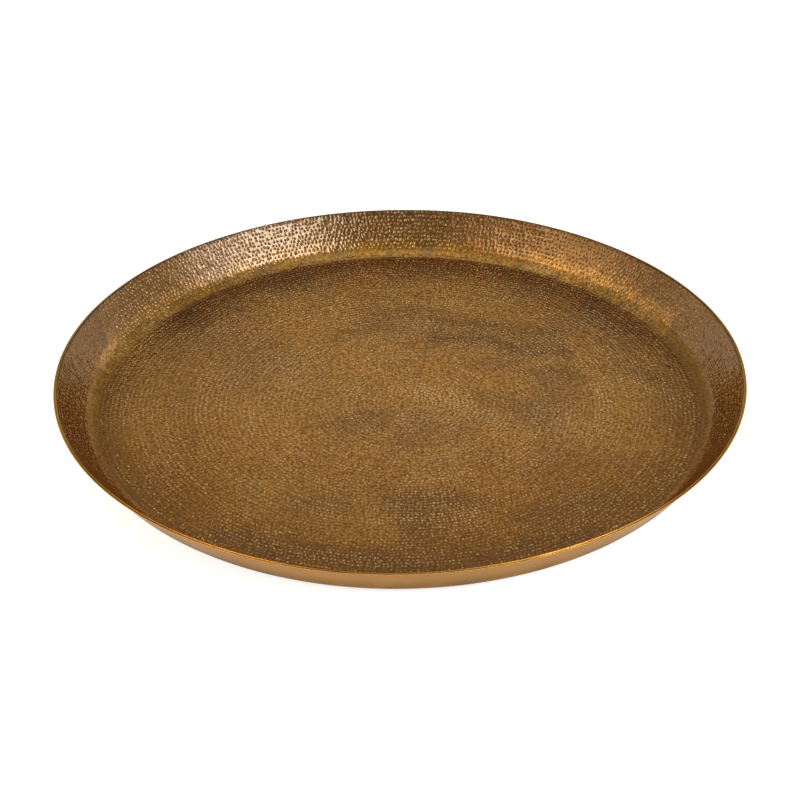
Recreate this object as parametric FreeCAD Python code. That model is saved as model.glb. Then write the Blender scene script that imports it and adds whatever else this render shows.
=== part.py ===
"""A round, shallow serving tray raised from one thick piece of brass.

Units are millimetres. +Z is up. The origin is on the tray's axis, in the plane that the tray stands on.
"""
import math
import os

import FreeCAD
import Part

# Driving dimensions
OVERALL_DIAMETER = 500.0  # over the outermost edge of the lip
OVERALL_HEIGHT = 33.0  # from the underside to the top of the lip
OUTSIDE_WALL_ANGLE = 52.0  # degrees above the horizontal, so that the wall flares outwards
INSIDE_WALL_ANGLE = 54.0  # a little steeper, so that the wall thickens towards the lip
FLOOR_THICKNESS = 2.0
LIP_THICKNESS = 3.0  # the bare edge of the metal, square to the outside of the wall
OUTSIDE_CORNER_RADIUS = 19.0  # where the underside turns up into the wall
INSIDE_CORNER_RADIUS = 15.0  # where the floor turns up into the wall
LIP_EDGE_RADIUS = 0.8  # the two corners of the lip, worn and polished round


def on_section(radius, height):
    """A point of the tray's half section: the XZ plane, with X as the distance from the axis."""
    return FreeCAD.Vector(radius, 0.0, height)


def unit_at(angle_degrees):
    """A unit vector of the half section, at an angle above the outward horizontal."""
    angle = math.radians(angle_degrees)
    return on_section(math.cos(angle), math.sin(angle))


def rounding_loss(side_a, side_b, outward):
    """How far rounding a corner of the lip draws it in, along outward; both sides lead away from the corner."""
    half_angle = side_a.getAngle(side_b) / 2.0
    to_arc_centre = (side_a + side_b).normalize() * (LIP_EDGE_RADIUS / math.sin(half_angle))
    return -to_arc_centre.dot(outward) - LIP_EDGE_RADIUS


def lip_corners():
    """The outer and inner corners of the lip before they are rounded.

    Each starts out further by what its rounding takes off the tray's width or height.
    """
    across_lip = unit_at(OUTSIDE_WALL_ANGLE + 90.0)
    down_outside = unit_at(OUTSIDE_WALL_ANGLE) * -1.0
    down_inside = unit_at(INSIDE_WALL_ANGLE) * -1.0
    width_loss = rounding_loss(down_outside, across_lip, unit_at(0.0))
    height_loss = rounding_loss(across_lip * -1.0, down_inside, unit_at(90.0))
    outer_to_inner = across_lip * LIP_THICKNESS
    outer_radius = OVERALL_DIAMETER / 2.0 + width_loss
    outer_height = OVERALL_HEIGHT + height_loss - outer_to_inner.z
    outer = on_section(outer_radius, outer_height)
    return outer, outer + outer_to_inner


def wall_foot(lip_corner, wall_angle, foot_height):
    """Where a straight wall that comes down from a corner of the lip meets the plane at foot_height."""
    run = (lip_corner.z - foot_height) / math.tan(math.radians(wall_angle))
    return on_section(lip_corner.x - run, foot_height)


def rounded_corner(before, corner, after, radius):
    """The arc of one radius that is tangent to both sides of a corner, and its two ends."""
    towards_before = (before - corner).normalize()
    towards_after = (after - corner).normalize()
    half_angle = towards_before.getAngle(towards_after) / 2.0
    tangent_length = radius / math.tan(half_angle)
    to_middle = radius / math.sin(half_angle) - radius
    start = corner + towards_before * tangent_length
    end = corner + towards_after * tangent_length
    middle = corner + (towards_before + towards_after).normalize() * to_middle
    return start, Part.Arc(start, middle, end).toShape(), end


def half_section():
    """The closed outline of half the tray, from the axis out under the base and back over the floor."""
    underside_centre = on_section(0.0, 0.0)
    floor_centre = on_section(0.0, FLOOR_THICKNESS)
    lip_outer, lip_inner = lip_corners()
    outside_foot = wall_foot(lip_outer, OUTSIDE_WALL_ANGLE, 0.0)
    inside_foot = wall_foot(lip_inner, INSIDE_WALL_ANGLE, FLOOR_THICKNESS)
    points = [underside_centre, outside_foot, lip_outer, lip_inner, inside_foot, floor_centre]
    radii = [OUTSIDE_CORNER_RADIUS, LIP_EDGE_RADIUS, LIP_EDGE_RADIUS, INSIDE_CORNER_RADIUS]

    edges = []
    line_start = underside_centre
    for before, corner, after, radius in zip(points, points[1:], points[2:], radii):
        arc_start, arc, arc_end = rounded_corner(before, corner, after, radius)
        edges.append(Part.makeLine(line_start, arc_start))
        edges.append(arc)
        line_start = arc_end
    edges.append(Part.makeLine(line_start, floor_centre))
    edges.append(Part.makeLine(floor_centre, underside_centre))
    return Part.Face(Part.Wire(edges))


def tray_dish():
    """The whole tray: a flat floor, a rounded corner, a flared wall and a thick plain lip, in one solid."""
    axis_point = FreeCAD.Vector(0.0, 0.0, 0.0)
    axis_direction = FreeCAD.Vector(0.0, 0.0, 1.0)
    return half_section().revolve(axis_point, axis_direction, 360.0)


def main():
    os.makedirs("parts", exist_ok=True)
    dish = tray_dish()
    box = dish.optimalBoundingBox()
    print(f"tray_dish: {box.XLength:.2f} x {box.YLength:.2f} x {box.ZLength:.2f} mm, valid {dish.isValid()}")
    print(f"tray_dish: volume {dish.Volume / 1000.0:.1f} cm3, solids {len(dish.Solids)}")
    dish.exportStep("parts/tray_dish.step")


main()
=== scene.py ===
"""The look of a round hammered brass tray with an antique finish, on a plain pale floor in soft studio light.

Units are metres. +Z is up and -Y is the front. The tray stands on Z = 0 with its axis on the origin.
"""
import math

import bpy
import numpy as np
from mathutils import Euler, Matrix, Vector
from mathutils.geometry import delaunay_2d_cdt


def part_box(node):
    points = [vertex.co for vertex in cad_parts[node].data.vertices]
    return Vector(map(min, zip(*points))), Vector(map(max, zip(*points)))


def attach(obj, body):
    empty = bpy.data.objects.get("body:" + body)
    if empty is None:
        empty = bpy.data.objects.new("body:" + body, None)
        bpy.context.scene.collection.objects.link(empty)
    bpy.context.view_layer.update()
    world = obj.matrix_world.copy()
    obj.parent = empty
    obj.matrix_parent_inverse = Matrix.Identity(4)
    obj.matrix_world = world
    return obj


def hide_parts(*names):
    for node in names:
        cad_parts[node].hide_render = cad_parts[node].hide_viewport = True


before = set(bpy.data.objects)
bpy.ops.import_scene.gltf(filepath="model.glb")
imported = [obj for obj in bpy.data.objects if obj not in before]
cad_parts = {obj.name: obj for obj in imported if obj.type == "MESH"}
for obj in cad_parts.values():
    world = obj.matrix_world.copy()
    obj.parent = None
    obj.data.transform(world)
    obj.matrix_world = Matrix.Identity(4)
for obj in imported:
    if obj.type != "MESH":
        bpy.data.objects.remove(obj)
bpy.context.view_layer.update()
MM = 0.001

# The tray's section, as the CAD model has it
LOW_CORNER, HIGH_CORNER = (Vector(corner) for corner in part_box("tray_dish"))
RIM_RADIUS = (HIGH_CORNER.x - LOW_CORNER.x) / 2.0
HEIGHT = HIGH_CORNER.z - LOW_CORNER.z
OUTSIDE_WALL_ANGLE = math.radians(52.0)
INSIDE_WALL_ANGLE = math.radians(54.0)
FLOOR_THICKNESS = 2.0 * MM
LIP_THICKNESS = 3.0 * MM
OUTSIDE_CORNER_RADIUS = 19.0 * MM
INSIDE_CORNER_RADIUS = 15.0 * MM
LIP_EDGE_RADIUS = 0.8 * MM

# The hammer marks
RING_PITCH = 3.25 * MM  # from one ring of marks to the next
MARK_PITCH = 2.9 * MM  # from one mark to the next along its ring
PATTERN_CENTRE = np.array([8.5, -4.0]) * MM  # the rings start a little off the tray's axis
DEEPEST_MARK = 0.42 * MM
OUTLINE_RINGS = ((0.42, 5, 0.86), (0.78, 6, 0.3), (1.0, 7, 0.0))  # share of the mark's radius, points, depth
GUARD_RING = (1.25, 7, 0.0)  # around a mark on the wall, to keep the metal between the marks flat
RIM_POINTS = 900  # around the lip and the outside

INSIDE, LIP, OUTSIDE = range(3)  # the material numbers of the tray's faces

# The patina, and the painted glints of the marks, as strokes over the flattened inside. Each goes from x, y
# to x, y with half its width, all in millimetres from the axis, and has a strength from 0 to 1.
DARK_STROKES = (
    (-30, 110, 20, 130, 13, 0.3),
    (35, 118, 120, 88, 13, 0.55),
    (25, 94, 100, 75, 13, 0.65),
    (100, 74, 125, 68, 12, 0.6),
    (0, -125, 45, -126, 14, 0.5),
    (10, -140, 15, -195, 17, 0.35),
    (-120, -172, 0, -205, 13, 0.5),
    (0, -205, 120, -172, 13, 0.5),
    (-65, -135, -40, -130, 14, 0.4),
    (-50, -35, -25, -22, 15, 0.35),
    (55, 8, 85, -8, 13, 0.3),
    (108, 42, 135, 33, 14, 0.4),
    (165, 45, 190, 25, 15, 0.35),
    (90, -150, 140, -125, 16, 0.35),
    (-110, 175, -80, 188, 13, 0.5),
    (-175, 110, -125, 160, 22, 0.2),
)
WORN_STROKES = (
    (-80, 5, -20, 60, 45, 0.6),
    (-30, 85, 40, 65, 14, 0.5),
    (60, 150, 105, 118, 13, 0.5),
    (150, 25, 135, -50, 22, 0.5),
    (15, -85, 40, -60, 18, 0.5),
    (-150, 40, -110, -30, 30, 0.4),
    (-90, 145, 70, 155, 32, 0.55),
    (-190, 90, -180, -50, 22, 0.5),
    (172, 0, 172, -60, 18, 0.5),
    (-100, -112, -20, -150, 26, 0.5),
    (-188, 122, -222, 52, 9, 0.75),
    (120, 200, 168, 163, 9, 0.5),
    (168, 163, 208, 100, 9, 0.5),
)
# Patches where the marks are painted bright as glints.
GLINTING_STROKES = (
    (15, 18, 42, 0, 9, 0.9),
    (48, -10, 72, -32, 8, 0.5),
    (5, -35, 30, -28, 9, 0.35),
    (148, 14, 146, -18, 4, 0.6),
    (0, -145, 45, -150, 18, 0.35),
    (-113, -112, -101, -100, 1.5, 1.0),
    (-99, -122, -91, -112, 1.5, 1.0),
)

# Colours, as linear red, green and blue
PATINA_LIGHT = (0.8, 0.39, 0.088)
PATINA_DARK = (0.58, 0.292, 0.09)
EDGE_PATINA = (0.45, 0.19, 0.028)
WALL_PATINA = (0.275, 0.134, 0.03)
WORN_PATINA = (0.78, 0.41, 0.1)
# Painted shade: the edge of the floor, the insides of the wall's marks and the wall under the lip.
PAINTED_SHADE = (0.11, 0.045, 0.007)
# Painted highlight: a golden sheen on the edge of the floor and the lower wall, mostly at the back.
CORNER_SHEEN = (0.58, 0.28, 0.022)
STAIN = (0.17, 0.085, 0.035)
MOTTLE = (0.17, 0.075, 0.015)
# Bright brass in the marks, which also stands in for painted glints.
BARE_BRASS_AND_GLINT = (1.0, 0.77, 0.43)
BARE_EDGE_BRASS_AND_GLINT = (0.95, 0.61, 0.27)
RIM_SHADOW = (0.1, 0.055, 0.025)
LIP_BRIGHT = (0.75, 0.435, 0.11)
LIP_TARNISHED = (0.57, 0.31, 0.075)
SATIN_LIGHT = (0.35, 0.19, 0.07)
SATIN_DARK = (0.3, 0.165, 0.06)
# Painted shade: the outside darker towards the bottom, and the base.
SHADED_UNDERSIDE_LIGHT = (0.13, 0.072, 0.032)
SHADED_UNDERSIDE_DARK = (0.05, 0.028, 0.016)
UNDERSIDE_SCUFF = (0.4, 0.23, 0.09)
WHITE = (1.0, 1.0, 1.0)
CREAMY = (1.0, 0.98, 0.88)
WARM = (1.0, 0.82, 0.6)
GOLDEN = (1.0, 0.8, 0.5)

# The camera, in degrees and millimetres
CAMERA_ELEVATION = 32.4
CAMERA_ROLL = -0.58
CAMERA_DISTANCE_IN_DIAMETERS = 3.0
FOCAL_LENGTH = 91.8
SENSOR_WIDTH = 36.0

RANDOM = np.random.default_rng(41)


# ---------------------------------------------------------------------------
# Section of the tray
# ---------------------------------------------------------------------------


def direction(angle):
    """A unit vector of the half section (radius, height), at an angle above the outward horizontal."""
    return np.array([math.cos(angle), math.sin(angle)])


def rounding_loss(side_a, side_b, outward):
    """How far rounding a corner of the lip draws it in, along outward; the sides lead away from it."""
    half_angle = math.acos(float(side_a @ side_b)) / 2.0
    middle = (side_a + side_b) / np.linalg.norm(side_a + side_b)
    return -float(middle @ outward) * LIP_EDGE_RADIUS / math.sin(half_angle) - LIP_EDGE_RADIUS


def lip_corners():
    """The outer and inner corners of the lip before they are rounded, as (radius, height)."""
    across_lip = direction(OUTSIDE_WALL_ANGLE + math.pi / 2.0)
    down_outside = -direction(OUTSIDE_WALL_ANGLE)
    down_inside = -direction(INSIDE_WALL_ANGLE)
    width_loss = rounding_loss(down_outside, across_lip, direction(0.0))
    height_loss = rounding_loss(-across_lip, down_inside, direction(math.pi / 2.0))
    outer_radius = RIM_RADIUS + width_loss
    outer_height = HEIGHT + height_loss - LIP_THICKNESS * across_lip[1]
    outer = np.array([outer_radius, outer_height])
    return outer, outer + across_lip * LIP_THICKNESS


def corner_arc(before, corner, after, radius, steps):
    """Points along the arc that rounds a corner, from the side of before to the side of after."""
    towards_before = (before - corner) / np.linalg.norm(before - corner)
    towards_after = (after - corner) / np.linalg.norm(after - corner)
    half_angle = math.acos(float(towards_before @ towards_after)) / 2.0
    middle = (towards_before + towards_after) / np.linalg.norm(towards_before + towards_after)
    centre = corner + middle * radius / math.sin(half_angle)
    start = corner + towards_before * radius / math.tan(half_angle) - centre
    turn = math.pi - 2.0 * half_angle
    if start[0] * towards_after[1] - start[1] * towards_after[0] < 0.0:
        turn = -turn
    angles = np.linspace(0.0, turn, steps + 1)
    cosines, sines = np.cos(angles), np.sin(angles)
    along = np.stack([start[0] * cosines - start[1] * sines, start[0] * sines + start[1] * cosines], axis=1)
    return centre + along


def wall_foot(lip_corner, wall_angle, foot_height):
    """Where a straight wall that comes down from a corner of the lip meets the plane at foot_height."""
    run = (lip_corner[1] - foot_height) / math.tan(wall_angle)
    return np.array([lip_corner[0] - run, foot_height])


LIP_OUTER, LIP_INNER = lip_corners()
INSIDE_FOOT = wall_foot(LIP_INNER, INSIDE_WALL_ANGLE, FLOOR_THICKNESS)
OUTSIDE_FOOT = wall_foot(LIP_OUTER, OUTSIDE_WALL_ANGLE, 0.0)
FLOOR_RADIUS = INSIDE_FOOT[0] - INSIDE_CORNER_RADIUS * math.tan(INSIDE_WALL_ANGLE / 2.0)
BASE_RADIUS = OUTSIDE_FOOT[0] - OUTSIDE_CORNER_RADIUS * math.tan(OUTSIDE_WALL_ANGLE / 2.0)
CORNER_LENGTH = INSIDE_CORNER_RADIUS * INSIDE_WALL_ANGLE
WALL_LENGTH = (
    np.linalg.norm(LIP_INNER - INSIDE_FOOT)
    - INSIDE_CORNER_RADIUS * math.tan(INSIDE_WALL_ANGLE / 2.0)
    - LIP_EDGE_RADIUS * math.tan((math.pi / 2.0 + OUTSIDE_WALL_ANGLE - INSIDE_WALL_ANGLE) / 2.0)
)
INSIDE_LENGTH = FLOOR_RADIUS + CORNER_LENGTH + WALL_LENGTH  # from the axis over the floor and up to the lip


def inside_section(distance):
    """Radius, height and slope of the inside surface at each distance from the axis, measured along it."""
    in_corner = np.clip(distance - FLOOR_RADIUS, 0.0, CORNER_LENGTH)
    up_wall = np.clip(distance - FLOOR_RADIUS - CORNER_LENGTH, 0.0, None)
    slope = in_corner / INSIDE_CORNER_RADIUS
    radius = np.minimum(distance, FLOOR_RADIUS) + INSIDE_CORNER_RADIUS * np.sin(slope)
    radius += up_wall * math.cos(INSIDE_WALL_ANGLE)
    height = FLOOR_THICKNESS + INSIDE_CORNER_RADIUS * (1.0 - np.cos(slope))
    height += up_wall * math.sin(INSIDE_WALL_ANGLE)
    return radius, height, slope


# ---------------------------------------------------------------------------
# Hammered inside
# ---------------------------------------------------------------------------


def waves(points, wavelength, count):
    """Smooth random waves over the points, mostly between -1 and 1: plane waves in random directions."""
    total = np.zeros(len(points))
    for _ in range(count):
        heading = RANDOM.uniform(0.0, 2.0 * math.pi)
        length = wavelength * RANDOM.uniform(0.7, 1.5)
        phase = RANDOM.uniform(0.0, 2.0 * math.pi)
        across = points @ np.array([math.cos(heading), math.sin(heading)])
        total += np.sin(2.0 * math.pi * across / length + phase)
    return total / math.sqrt(count)


def fade(value, start, end):
    """0 before start, 1 after end and a smooth change between them."""
    share = np.clip((value - start) / (end - start), 0.0, 1.0)
    return share * share * (3.0 - 2.0 * share)


def cover(points, strokes):
    """How much the strokes cover each point of the flattened inside, from 0 to 1; their edges are soft."""
    covered = np.zeros(len(points))
    for start_x, start_y, end_x, end_y, half_width, strength in strokes:
        start = np.array([start_x, start_y]) * MM
        stroke = np.array([end_x, end_y]) * MM - start
        along = np.clip((points - start) @ stroke / (stroke @ stroke), 0.0, 1.0)
        away = np.linalg.norm(points - start - along[:, None] * stroke, axis=1)
        covered = np.maximum(covered, strength * np.exp(-((away / (half_width * MM)) ** 2)))
    return covered


def turned_to(points, azimuth, spread):
    """1 where the points lie towards azimuth, down to 0 at spread from it; in degrees from +X towards +Y."""
    away = np.degrees(np.arctan2(points[:, 1], points[:, 0])) - azimuth
    return fade(-np.abs((away + 180.0) % 360.0 - 180.0), -spread, -0.5 * spread)


def up_on_wall(points):
    """1 on the straight wall, 0 on the floor and a smooth change over the corner between them."""
    return fade(np.linalg.norm(points, axis=1), FLOOR_RADIUS + 8.0 * MM, FLOOR_RADIUS + 15.0 * MM)


def thick_lacquer(points):
    """Where the lacquer lies thick on the wall, from 0 to 1: only at the back, a little to the left."""
    return turned_to(points, 117.0, 23.0) * up_on_wall(points)


def shaded_marks(points):
    """Where the marks on the wall are painted dark inside as shade, from 0 to 1: at the back left and the
    back right, where the wall mirrors the key and the fill softboxes.
    """
    return (turned_to(points, 118.0, 34.0) + 0.7 * turned_to(points, 58.0, 36.0)) * up_on_wall(points)


def corner_shade(points):
    """How much painted shade darkens the edge of the floor, from 0 to 1: most at the back, where the floor
    reflects the dark back wall.
    """
    distance = np.linalg.norm(points, axis=1)
    painted_shade = fade(distance, 170.0 * MM, 208.0 * MM)
    painted_shade *= 1.0 - fade(distance, FLOOR_RADIUS, FLOOR_RADIUS + 8.0 * MM)
    return painted_shade * (0.15 + 0.36 * turned_to(points, 92.0, 95.0))


def mark_outline():
    """The points that shape one mark: each one's place on a unit disc, and how deep it lies, from 1 to 0.

    The guard ring's points come last.
    """
    points, depths = [(0.0, 0.0)], [1.0]
    for radius, count, depth in (*OUTLINE_RINGS, GUARD_RING):
        for i in range(count):
            angle = 2.0 * math.pi * (i + 0.5) / count
            points.append((radius * math.cos(angle), radius * math.sin(angle)))
            depths.append(depth)
    return np.array(points), np.array(depths)


def mark_centres():
    """Where the marks are, on the flattened inside, with each one's heading and its ring's rhythm.

    The rhythm is how hard the hammer fell, from blow to blow around one ring: mostly between -1 and 1.
    """
    first = RING_PITCH * 0.6
    last = INSIDE_LENGTH - 1.5 * MM
    ring_count = int((last - first) / RING_PITCH) + 1
    centres, headings, rhythms = [], [], []
    for distance in np.linspace(first, last, ring_count):
        on_wall = float(fade(distance, FLOOR_RADIUS, FLOOR_RADIUS + CORNER_LENGTH))
        count = max(3, round(2.0 * math.pi * distance / (MARK_PITCH * (1.0 + 0.15 * on_wall))))
        loose = 0.12 + 0.02 * on_wall
        steps = np.arange(count) + RANDOM.normal(0.0, loose, count) + RANDOM.uniform()
        angles = 2.0 * math.pi * steps / count
        out = distance + RING_PITCH * RANDOM.normal(0.0, loose, count)
        shift = PATTERN_CENTRE * (1.0 - fade(distance, 0.3 * FLOOR_RADIUS, 0.95 * FLOOR_RADIUS))
        unit = np.stack([np.cos(angles), np.sin(angles)], axis=1)
        centres.append(shift + unit * out[:, None])
        headings.append(angles)
        rhythm = np.full(count, RANDOM.normal(0.0, 0.5))
        for _ in range(4):
            rhythm += 0.4 * np.sin(RANDOM.integers(2, 9) * angles + RANDOM.uniform(0.0, 2.0 * math.pi))
        rhythms.append(rhythm)
    return np.concatenate(centres), np.concatenate(headings), np.concatenate(rhythms)


def hammered_points():
    """Every point that shapes a mark on the flattened inside, how deep it lies and how far its metal is
    rubbed through the patina, which also stands in for painted glints.

    Depth is a share of the deepest mark's, and the rubbed brightness with its painted glints goes from 0,
    under patina, to 1.
    """
    centres, headings, rhythms = mark_centres()
    distance = np.linalg.norm(centres, axis=1)
    on_wall = fade(distance, FLOOR_RADIUS + 0.6 * CORNER_LENGTH, FLOOR_RADIUS + 1.3 * CORNER_LENGTH)
    in_corner = fade(distance, FLOOR_RADIUS - 2.0 * MM, FLOOR_RADIUS + 4.0 * MM) * (1.0 - on_wall)

    lean = (0.5 - 0.2 * on_wall) * waves(centres, 60.0 * MM, 8) + RANDOM.normal(0.0, 0.25, len(centres))
    stretch = 1.0 + 0.3 * waves(centres, 80.0 * MM, 8) + RANDOM.normal(0.0, 0.15, len(centres))
    stretch = np.clip(stretch, 0.6, 1.6)
    size = np.clip(1.0 + RANDOM.normal(0.0, 0.17, len(centres)), 0.6, 1.35)
    size *= 1.0 + 0.2 * shaded_marks(centres)
    radial = (0.92 + 0.45 * on_wall) * MM * size * np.sqrt(stretch)
    sideways = (0.87 - 0.3 * on_wall) * MM * size / np.sqrt(stretch)

    strength = 0.85 + 0.2 * waves(centres, 45.0 * MM, 10) + 0.12 * rhythms
    strength += RANDOM.normal(0.0, 0.16, len(centres))
    strength = np.clip(strength + 0.3 * on_wall - 0.3 * in_corner, 0.06, 1.0)

    outline, depths = mark_outline()
    off_centre = RANDOM.normal(0.0, 0.2, (len(centres), 2)) * MM
    outline = outline[None, :, :] * np.stack([radial, sideways], axis=1)[:, None, :]
    local = outline + off_centre[:, None, :] * depths[None, :, None]
    cosines, sines = np.cos(headings + lean)[:, None], np.sin(headings + lean)[:, None]
    x = local[:, :, 0] * cosines - local[:, :, 1] * sines
    y = local[:, :, 0] * sines + local[:, :, 1] * cosines
    points = centres[:, None, :] + np.stack([x, y], axis=2)
    pit = strength[:, None] * depths[None, :]

    # The marks' bright brass also stands in for painted glints: one mark in twelve is painted brighter, and
    # more in the glinting strokes.
    bare_and_glint = 0.3 + 0.12 * waves(centres, 70.0 * MM, 10) + 0.15 * rhythms
    bare_and_glint += RANDOM.normal(0.0, 0.18, len(centres))
    bare_and_glint += 0.6 * (RANDOM.uniform(size=len(centres)) < 0.08) + cover(centres, GLINTING_STROKES)
    bare_and_glint *= 1.0 - on_wall * (0.55 + 0.38 * turned_to(centres, 90.0, 80.0)) - 0.7 * in_corner
    bare_and_glint = np.clip(bare_and_glint * (1.0 - 0.5 * corner_shade(centres)) - 0.9 * shaded_marks(centres), 0.0, 1.0)
    bare_and_glint = bare_and_glint[:, None] * np.clip(1.7 * depths, 0.0, 1.0)[None, :]

    is_guard = np.arange(len(depths)) >= len(depths) - GUARD_RING[1]
    wanted = (on_wall[:, None] > 0.0) | ~is_guard[None, :]
    points, pit, bare_and_glint = points.reshape(-1, 2), pit.reshape(-1), bare_and_glint.reshape(-1)
    kept = wanted.reshape(-1) & (np.linalg.norm(points, axis=1) < INSIDE_LENGTH - 0.25 * MM)
    return points[kept], pit[kept], bare_and_glint[kept]


def circle(radius, count):
    """Points evenly spaced on a circle in the XY plane."""
    angles = 2.0 * math.pi * np.arange(count) / count
    return np.stack([radius * np.cos(angles), radius * np.sin(angles)], axis=1)


def triangulate(points):
    """The triangles that join a flat set of points, wound anticlockwise, as rows of three point numbers."""
    result = delaunay_2d_cdt([Vector(p) for p in points.tolist()], [], [], 0, 1e-9, True)
    number = np.array([ids[0] for ids in result[3]])
    return number[np.array(result[2])]


def hammered_inside(boundary_count):
    """The hammered inside as points, triangles and what its material reads at each point, by name.

    The last boundary_count points are its round edge, where the lip begins.
    """
    marks, pit, bare_and_glint = hammered_points()
    flat = np.concatenate([marks, circle(INSIDE_LENGTH, boundary_count)])
    pit = np.concatenate([pit, np.zeros(boundary_count)])
    triangles = triangulate(flat)

    distance = np.linalg.norm(flat, axis=1)
    unit = flat / np.maximum(distance, 1e-9)[:, None]
    radius, height, slope = inside_section(distance)
    below_edge = 1.0 - fade(distance, INSIDE_LENGTH - 2.0 * MM, INSIDE_LENGTH)
    sink = DEEPEST_MARK * pit + below_edge * (
        0.07 * MM * waves(flat, 14.0 * MM, 12) + 0.16 * MM * waves(flat, 48.0 * MM, 10)
    )
    radius = radius + sink * np.sin(slope)
    height = height - sink * np.cos(slope)
    points = np.concatenate([unit * radius[:, None], height[:, None]], axis=1)
    worn_centre = np.array([15.0, 95.0]) * MM
    edge_patina = fade(np.linalg.norm(flat - worn_centre, axis=1), 115.0 * MM, 290.0 * MM)
    wander = np.stack([waves(flat, 60.0 * MM, 8) + 0.5 * waves(flat, 20.0 * MM, 8) for _ in range(2)], axis=1)
    ragged = flat + 5.0 * MM * wander
    # Painted shade inside the wall's marks, where the wall mirrors the softboxes.
    pit_shade = 0.85 * fade(pit, 0.15, 0.6) * shaded_marks(flat)
    # Painted golden highlight along the edge of the floor and the lower wall, patchy and mostly at the back.
    uneven = np.clip(0.6 + 0.25 * waves(flat, 30.0 * MM, 8), 0.0, 1.0) * turned_to(flat, 100.0, 110.0)
    corner_sheen = fade(distance, FLOOR_RADIUS, FLOOR_RADIUS + 7.0 * MM) * uneven
    corner_sheen *= 1.0 - fade(distance, FLOOR_RADIUS + 7.0 * MM, FLOOR_RADIUS + 27.0 * MM)
    # Painted shade on the wall under the lip, at the back.
    shade_under_lip = 0.45 * fade(distance, INSIDE_LENGTH - 16.0 * MM, INSIDE_LENGTH) * turned_to(flat, 85.0, 60.0)
    shade = np.maximum(pit_shade, shade_under_lip)
    looks = {
        "bare_and_glint": bare_and_glint,
        "stain": cover(ragged, DARK_STROKES),
        "worn": cover(ragged, WORN_STROKES),
        "edge_patina": edge_patina,
        # Painted shade at the floor's edge, in the wall's marks and under the lip.
        "painted_shade": np.maximum(corner_shade(flat), shade),
        "corner_sheen": corner_sheen,
        "lacquer": (0.19 + 0.14 * up_on_wall(flat) + 0.45 * thick_lacquer(flat)) * (1.0 - 0.7 * pit_shade),
        "wall": fade(distance, FLOOR_RADIUS - 14.0 * MM, FLOOR_RADIUS + 1.3 * CORNER_LENGTH),
        "rim": fade(distance, INSIDE_LENGTH - 2.5 * MM, INSIDE_LENGTH),
    }
    return points, triangles, looks


# ---------------------------------------------------------------------------
# Lip, outside and base
# ---------------------------------------------------------------------------


def outside_section():
    """The section from the lip's inner rounding over the lip and down the outside to the edge of the base.

    Returns the points, and the material number of the strip that follows each.
    """
    lip_inner_arc = corner_arc(INSIDE_FOOT, LIP_INNER, LIP_OUTER, LIP_EDGE_RADIUS, 5)
    lip_outer_arc = corner_arc(LIP_INNER, LIP_OUTER, OUTSIDE_FOOT, LIP_EDGE_RADIUS, 5)
    base_arc = corner_arc(LIP_OUTER, OUTSIDE_FOOT, np.array([0.0, 0.0]), OUTSIDE_CORNER_RADIUS, 10)
    lip_face = np.linspace(lip_inner_arc[-1], lip_outer_arc[0], 4)[1:-1]
    wall = np.linspace(lip_outer_arc[-1], base_arc[0], 10)[1:-1]
    edge = lip_inner_arc[:-4]
    lip = np.concatenate([lip_inner_arc[-4:], lip_face, lip_outer_arc])
    outside = np.concatenate([wall, base_arc])
    strips = [INSIDE] * len(edge) + [LIP] * (len(lip) - 1) + [OUTSIDE] * (len(outside) + 1)
    return np.concatenate([edge, lip, outside]), strips


def base_points():
    """Points spread over the flat underside, inside its edge."""
    pitch = 6.0 * MM
    rings = [np.zeros((1, 2))]
    for distance in np.arange(pitch, BASE_RADIUS - 0.4 * pitch, pitch):
        rings.append(circle(distance, round(2.0 * math.pi * distance / pitch)))
    return np.concatenate(rings)


def bend_by_hand(points):
    """The rim wanders a little from a true flat circle, more the higher up the wall; the base stays flat.

    radial and upward are in millimetres. The rim is drawn down a little, to stay inside the full height.
    """
    angle = np.arctan2(points[:, 1], points[:, 0])
    up = np.clip(points[:, 2] / HEIGHT, 0.0, 1.0)
    radial = 0.35 * np.sin(2.0 * angle + 0.6) + 0.22 * np.sin(3.0 * angle + 2.1) + 0.12 * np.sin(7.0 * angle)
    upward = 0.2 * np.sin(2.0 * angle + 2.4) + 0.16 * np.sin(5.0 * angle + 1.0) + 0.064 * np.sin(11.0 * angle)
    bent = points.copy()
    bent[:, :2] *= (1.0 + up * radial * MM / RIM_RADIUS)[:, None]
    bent[:, 2] += up * (upward - 0.4) * MM
    return bent


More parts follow.
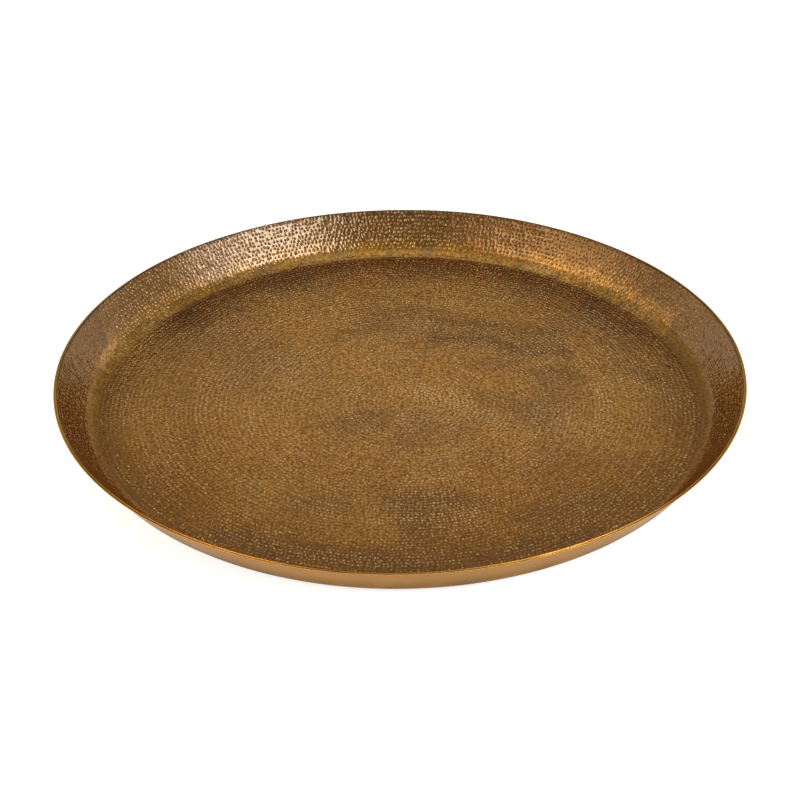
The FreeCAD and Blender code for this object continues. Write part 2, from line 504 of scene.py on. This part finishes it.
def tray_mesh():
    """The whole tray as one closed mesh: hammered inside, polished lip, smooth outside and base."""
    inside, inside_triangles, looks = hammered_inside(RIM_POINTS)
    section, part = outside_section()
    rows = [np.arange(len(inside) - RIM_POINTS, len(inside))]
    points = [inside]
    total = len(inside)
    for radius, height in section[1:]:
        ring = np.concatenate([circle(radius, RIM_POINTS), np.full((RIM_POINTS, 1), height)], axis=1)
        points.append(ring)
        rows.append(np.arange(total, total + RIM_POINTS))
        total += RIM_POINTS

    faces, materials = inside_triangles.tolist(), [INSIDE] * len(inside_triangles)
    for row, (upper, lower) in enumerate(zip(rows, rows[1:])):
        quads = np.stack([upper, lower, np.roll(lower, -1), np.roll(upper, -1)], axis=1)
        faces.extend(quads.tolist())
        materials.extend([part[row]] * RIM_POINTS)

    base = base_points()
    base_flat = np.concatenate([base, circle(section[-1][0], RIM_POINTS)])
    base_triangles = triangulate(base_flat)[:, ::-1]
    number = np.concatenate([np.arange(total, total + len(base)), rows[-1]])
    faces.extend(number[base_triangles].tolist())
    materials.extend([OUTSIDE] * len(base_triangles))
    points.append(np.concatenate([base, np.zeros((len(base), 1))], axis=1))
    points = bend_by_hand(np.concatenate(points))

    mesh = bpy.data.meshes.new("hammered_tray")
    mesh.from_pydata(points.tolist(), [], faces)
    mesh.polygons.foreach_set("material_index", np.array(materials, dtype=np.int32))
    mesh.shade_smooth()
    for name, values in looks.items():
        past_inside = 1.0 if name == "rim" else 0.0  # everything past the hammered inside counts as rim
        on_all = np.full(len(points), past_inside, dtype=np.float32)
        on_all[:len(values)] = values
        mesh.attributes.new(name, "FLOAT", "POINT").data.foreach_set("value", on_all)
    return mesh


# ---------------------------------------------------------------------------
# Materials
# ---------------------------------------------------------------------------


def new_material(name):
    """An empty node material with its Principled shader, already metal."""
    material = bpy.data.materials.new(name)
    material.use_nodes = True
    shader = material.node_tree.nodes["Principled BSDF"]
    shader.inputs["Metallic"].default_value = 1.0
    shader.inputs["Specular Tint"].default_value = (0.7, 0.4, 0.15, 1.0)
    return material, shader


def noise(tree, scale, detail=4.0, distortion=0.0):
    """A noise texture in the tray's own coordinates; returns its value output."""
    place = tree.nodes.new("ShaderNodeTexCoord")
    texture = tree.nodes.new("ShaderNodeTexNoise")
    texture.inputs["Scale"].default_value = scale
    texture.inputs["Detail"].default_value = detail
    texture.inputs["Distortion"].default_value = distortion
    tree.links.new(place.outputs["Object"], texture.inputs["Vector"])
    return texture.outputs["Fac"]


def attribute(tree, name):
    """A value stored on the mesh's points."""
    node = tree.nodes.new("ShaderNodeAttribute")
    node.attribute_name = name
    return node.outputs["Fac"]


def remap(tree, value, low, high, new_low, new_high):
    """value taken smoothly from the range low..high to new_low..new_high."""
    node = tree.nodes.new("ShaderNodeMapRange")
    node.interpolation_type = "SMOOTHSTEP"
    for socket, number in (("From Min", low), ("From Max", high), ("To Min", new_low), ("To Max", new_high)):
        node.inputs[socket].default_value = number
    tree.links.new(value, node.inputs["Value"])
    return node.outputs["Result"]


def blend(tree, share, first, second):
    """A colour between first and second; each is a colour or another node's output."""
    node = tree.nodes.new("ShaderNodeMix")
    node.data_type = "RGBA"
    tree.links.new(share, node.inputs["Factor"])
    for socket, colour in ((node.inputs[6], first), (node.inputs[7], second)):
        if isinstance(colour, tuple):
            socket.default_value = (*colour, 1.0)
        else:
            tree.links.new(colour, socket)
    return node.outputs[2]


def add(tree, first, second):
    """The sum of two nodes' outputs."""
    node = tree.nodes.new("ShaderNodeMath")
    node.operation = "ADD"
    tree.links.new(first, node.inputs[0])
    tree.links.new(second, node.inputs[1])
    return node.outputs["Value"]


def height_and_depth(tree, coordinates):
    """Z and Y in one of the Texture Coordinate node's outputs, such as Object, as two outputs."""
    place = tree.nodes.new("ShaderNodeTexCoord")
    split = tree.nodes.new("ShaderNodeSeparateXYZ")
    tree.links.new(place.outputs[coordinates], split.inputs["Vector"])
    return split.outputs["Z"], split.outputs["Y"]


def bump(tree, height, distance, strength):
    """Fine relief that is too small for the mesh."""
    node = tree.nodes.new("ShaderNodeBump")
    node.inputs["Distance"].default_value = distance
    node.inputs["Strength"].default_value = strength
    tree.links.new(height, node.inputs["Height"])
    return node.outputs["Normal"]


def hammered_patina():
    """The inside: brown antique patina under lacquer, darker in stains and in painted shade, with a painted
    golden highlight low at the back, and many marks rubbed through to bright brass that also stands in for
    painted glints.
    """
    material, shader = new_material("hammered_patina")
    tree = material.node_tree
    broad = remap(tree, noise(tree, 14.0, 6.0, 0.5), 0.38, 0.64, 0.0, 1.0)
    wall = attribute(tree, "wall")
    edge_patina = attribute(tree, "edge_patina")
    colour = blend(tree, broad, PATINA_LIGHT, PATINA_DARK)
    colour = blend(tree, edge_patina, colour, EDGE_PATINA)
    colour = blend(tree, wall, colour, WALL_PATINA)
    # Painted shade at the floor's edge, in the wall's marks and under the lip.
    colour = blend(tree, attribute(tree, "painted_shade"), colour, PAINTED_SHADE)
    # Painted golden highlight low at the back.
    colour = blend(tree, attribute(tree, "corner_sheen"), colour, CORNER_SHEEN)
    colour = blend(tree, attribute(tree, "worn"), colour, WORN_PATINA)
    colour = blend(tree, attribute(tree, "stain"), colour, STAIN)
    mottle = remap(tree, noise(tree, 420.0, 3.0), 0.4, 0.62, 0.0, 0.65)
    colour = blend(tree, mottle, colour, MOTTLE)
    # Bright brass in the marks, which also stands in for painted glints.
    bare_and_glint_colour = blend(tree, edge_patina, BARE_BRASS_AND_GLINT, BARE_EDGE_BRASS_AND_GLINT)
    colour = blend(tree, attribute(tree, "bare_and_glint"), colour, bare_and_glint_colour)
    colour = blend(tree, attribute(tree, "rim"), colour, RIM_SHADOW)
    tree.links.new(colour, shader.inputs["Base Color"])
    roughness = remap(tree, wall, 0.0, 1.0, 0.33, 0.36)
    tree.links.new(roughness, shader.inputs["Roughness"])
    tree.links.new(attribute(tree, "lacquer"), shader.inputs["Coat Weight"])
    shader.inputs["Coat Roughness"].default_value = 0.12
    shader.inputs["Coat IOR"].default_value = 2.0
    grain = noise(tree, 700.0, 3.0)
    tree.links.new(bump(tree, grain, 0.05 * MM, 0.4), shader.inputs["Normal"])
    return material


def polished_lip():
    """The lip: bare brass rubbed bright, a little tarnished in places."""
    material, shader = new_material("polished_lip")
    tree = material.node_tree
    tarnish = remap(tree, noise(tree, 30.0, 5.0), 0.42, 0.7, 0.0, 1.0)
    colour = blend(tree, tarnish, LIP_BRIGHT, LIP_TARNISHED)
    tree.links.new(colour, shader.inputs["Base Color"])
    roughness = remap(tree, noise(tree, 60.0, 4.0), 0.3, 0.7, 0.24, 0.34)
    tree.links.new(roughness, shader.inputs["Roughness"])
    tree.links.new(bump(tree, noise(tree, 250.0, 2.0), 0.04 * MM, 0.3), shader.inputs["Normal"])
    return material


def satin_outside():
    """The outside and the base: smooth satin brown brass, with painted shade that darkens it towards the
    bottom, tarnished and scuffed underneath.
    """
    material, shader = new_material("satin_outside")
    tree = material.node_tree
    cloudy = remap(tree, noise(tree, 9.0, 5.0, 0.3), 0.35, 0.68, 0.0, 1.0)
    shader.inputs["Specular Tint"].default_value = (0.8, 0.6, 0.4, 1.0)
    colour = blend(tree, cloudy, SATIN_LIGHT, SATIN_DARK)
    height, _ = height_and_depth(tree, "Object")
    # Painted shade: darker towards the bottom of the outside.
    low = remap(tree, height, 3.0 * MM, 24.0 * MM, 0.9, 0.0)
    tarnish = remap(tree, noise(tree, 22.0, 7.0, 0.6), 0.38, 0.62, 0.0, 1.0)
    scuffs = remap(tree, noise(tree, 60.0, 4.0, 0.3), 0.55, 0.75, 0.0, 0.35)
    shaded_underside = blend(tree, tarnish, SHADED_UNDERSIDE_LIGHT, SHADED_UNDERSIDE_DARK)
    shaded_underside = blend(tree, scuffs, shaded_underside, UNDERSIDE_SCUFF)
    colour = blend(tree, low, colour, shaded_underside)
    tree.links.new(colour, shader.inputs["Base Color"])
    roughness = remap(tree, noise(tree, 40.0, 5.0), 0.3, 0.7, 0.3, 0.42)
    tree.links.new(roughness, shader.inputs["Roughness"])
    shader.inputs["Coat Weight"].default_value = 0.15
    shader.inputs["Coat Roughness"].default_value = 0.25
    tree.links.new(bump(tree, noise(tree, 300.0, 3.0), 0.04 * MM, 0.3), shader.inputs["Normal"])
    return material


def pale_floor():
    """A plain white studio table, lit from below so that it stays white."""
    material = bpy.data.materials.new("pale_floor")
    material.use_nodes = True
    shader = material.node_tree.nodes["Principled BSDF"]
    shader.inputs["Base Color"].default_value = (0.8, 0.8, 0.8, 1.0)
    shader.inputs["Roughness"].default_value = 0.9
    shader.inputs["Emission Color"].default_value = (*WHITE, 1.0)
    shader.inputs["Emission Strength"].default_value = 0.75
    return material


# ---------------------------------------------------------------------------
# Scene
# ---------------------------------------------------------------------------


def add_tray():
    tray = bpy.data.objects.new("hammered_tray", tray_mesh())
    bpy.context.collection.objects.link(tray)
    for material in (hammered_patina(), polished_lip(), satin_outside()):
        tray.data.materials.append(material)
    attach(tray, "root")
    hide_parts("tray_dish")


def add_floor():
    half = 20.0
    mesh = bpy.data.meshes.new("studio_floor")
    corners = [(-half, -half, 0.0), (half, -half, 0.0), (half, half, 0.0), (-half, half, 0.0)]
    mesh.from_pydata(corners, [], [(0, 1, 2, 3)])
    mesh.materials.append(pale_floor())
    floor = bpy.data.objects.new("studio_floor", mesh)
    bpy.context.collection.objects.link(floor)


def looking_at(position, target, roll=0.0):
    """The transform of a camera or lamp that stands at position and faces target."""
    facing = (target - position).to_track_quat("-Z", "Y").to_matrix().to_4x4()
    return Matrix.Translation(position) @ facing @ Euler((0.0, 0.0, roll)).to_matrix().to_4x4()


def around(azimuth, elevation, distance, centre=Vector()):
    """A point at a distance from centre: azimuth 0 is the front (-Y), 90 is the right (+X); in degrees."""
    turn, rise = math.radians(azimuth), math.radians(elevation)
    out = Vector((math.sin(turn) * math.cos(rise), -math.cos(turn) * math.cos(rise), math.sin(rise)))
    return centre + out * distance


def add_softbox(name, azimuth, elevation, distance, width, radiance, colour=WHITE):
    """A square softbox that faces the tray; radiance is how bright its face looks."""
    lamp = bpy.data.lights.new(name, "AREA")
    lamp.size = width
    lamp.energy = radiance * math.pi * width * width
    lamp.color = colour
    box = bpy.data.objects.new(name, lamp)
    box.matrix_world = looking_at(around(azimuth, elevation, distance), Vector())
    bpy.context.collection.objects.link(box)


def add_lights():
    """A key light on the right, a weaker, warmer one on the left, and a dim panel beyond each of them.

    The room around them is dimmer at the front, and brightens at the horizon and overhead.
    """
    add_softbox("key_softbox", 50.0, 34.5, 2.4, 1.1, 5.4, CREAMY)
    add_softbox("key_side_panel", 76.0, 36.0, 2.4, 1.0, 1.3)
    add_softbox("fill_softbox", -50.0, 34.0, 2.6, 0.9, 4.2, WARM)
    add_softbox("fill_side_panel", -78.0, 34.0, 2.4, 1.2, 1.5, GOLDEN)

    world = bpy.data.worlds.new("studio")
    world.use_nodes = True
    tree = world.node_tree
    upward, backward = height_and_depth(tree, "Generated")
    room = remap(tree, backward, -0.6, 0.8, 0.18, 0.38)
    horizon = remap(tree, upward, 0.05, 0.45, 0.95, 0.0)
    ceiling = remap(tree, upward, 0.8, 1.0, 0.0, 0.75)
    backdrop = tree.nodes["Background"]
    backdrop.inputs["Color"].default_value = (*WHITE, 1.0)
    tree.links.new(add(tree, add(tree, room, horizon), ceiling), backdrop.inputs["Strength"])
    bpy.context.scene.world = world


def add_camera():
    """The camera looks down at the middle of the dish from three diameters away, through a portrait lens."""
    lens = bpy.data.cameras.new("camera")
    lens.lens = FOCAL_LENGTH
    lens.sensor_width = SENSOR_WIDTH
    camera = bpy.data.objects.new("camera", lens)
    middle = Vector((0.0, 0.0, 2.6 * MM))
    distance = CAMERA_DISTANCE_IN_DIAMETERS * 2.0 * RIM_RADIUS
    position = around(0.0, CAMERA_ELEVATION, distance, middle)
    camera.matrix_world = looking_at(position, middle, math.radians(CAMERA_ROLL))
    bpy.context.collection.objects.link(camera)
    bpy.context.scene.camera = camera


add_tray()
add_floor()
add_lights()
add_camera()
bpy.context.scene.view_settings.view_transform = "Standard"
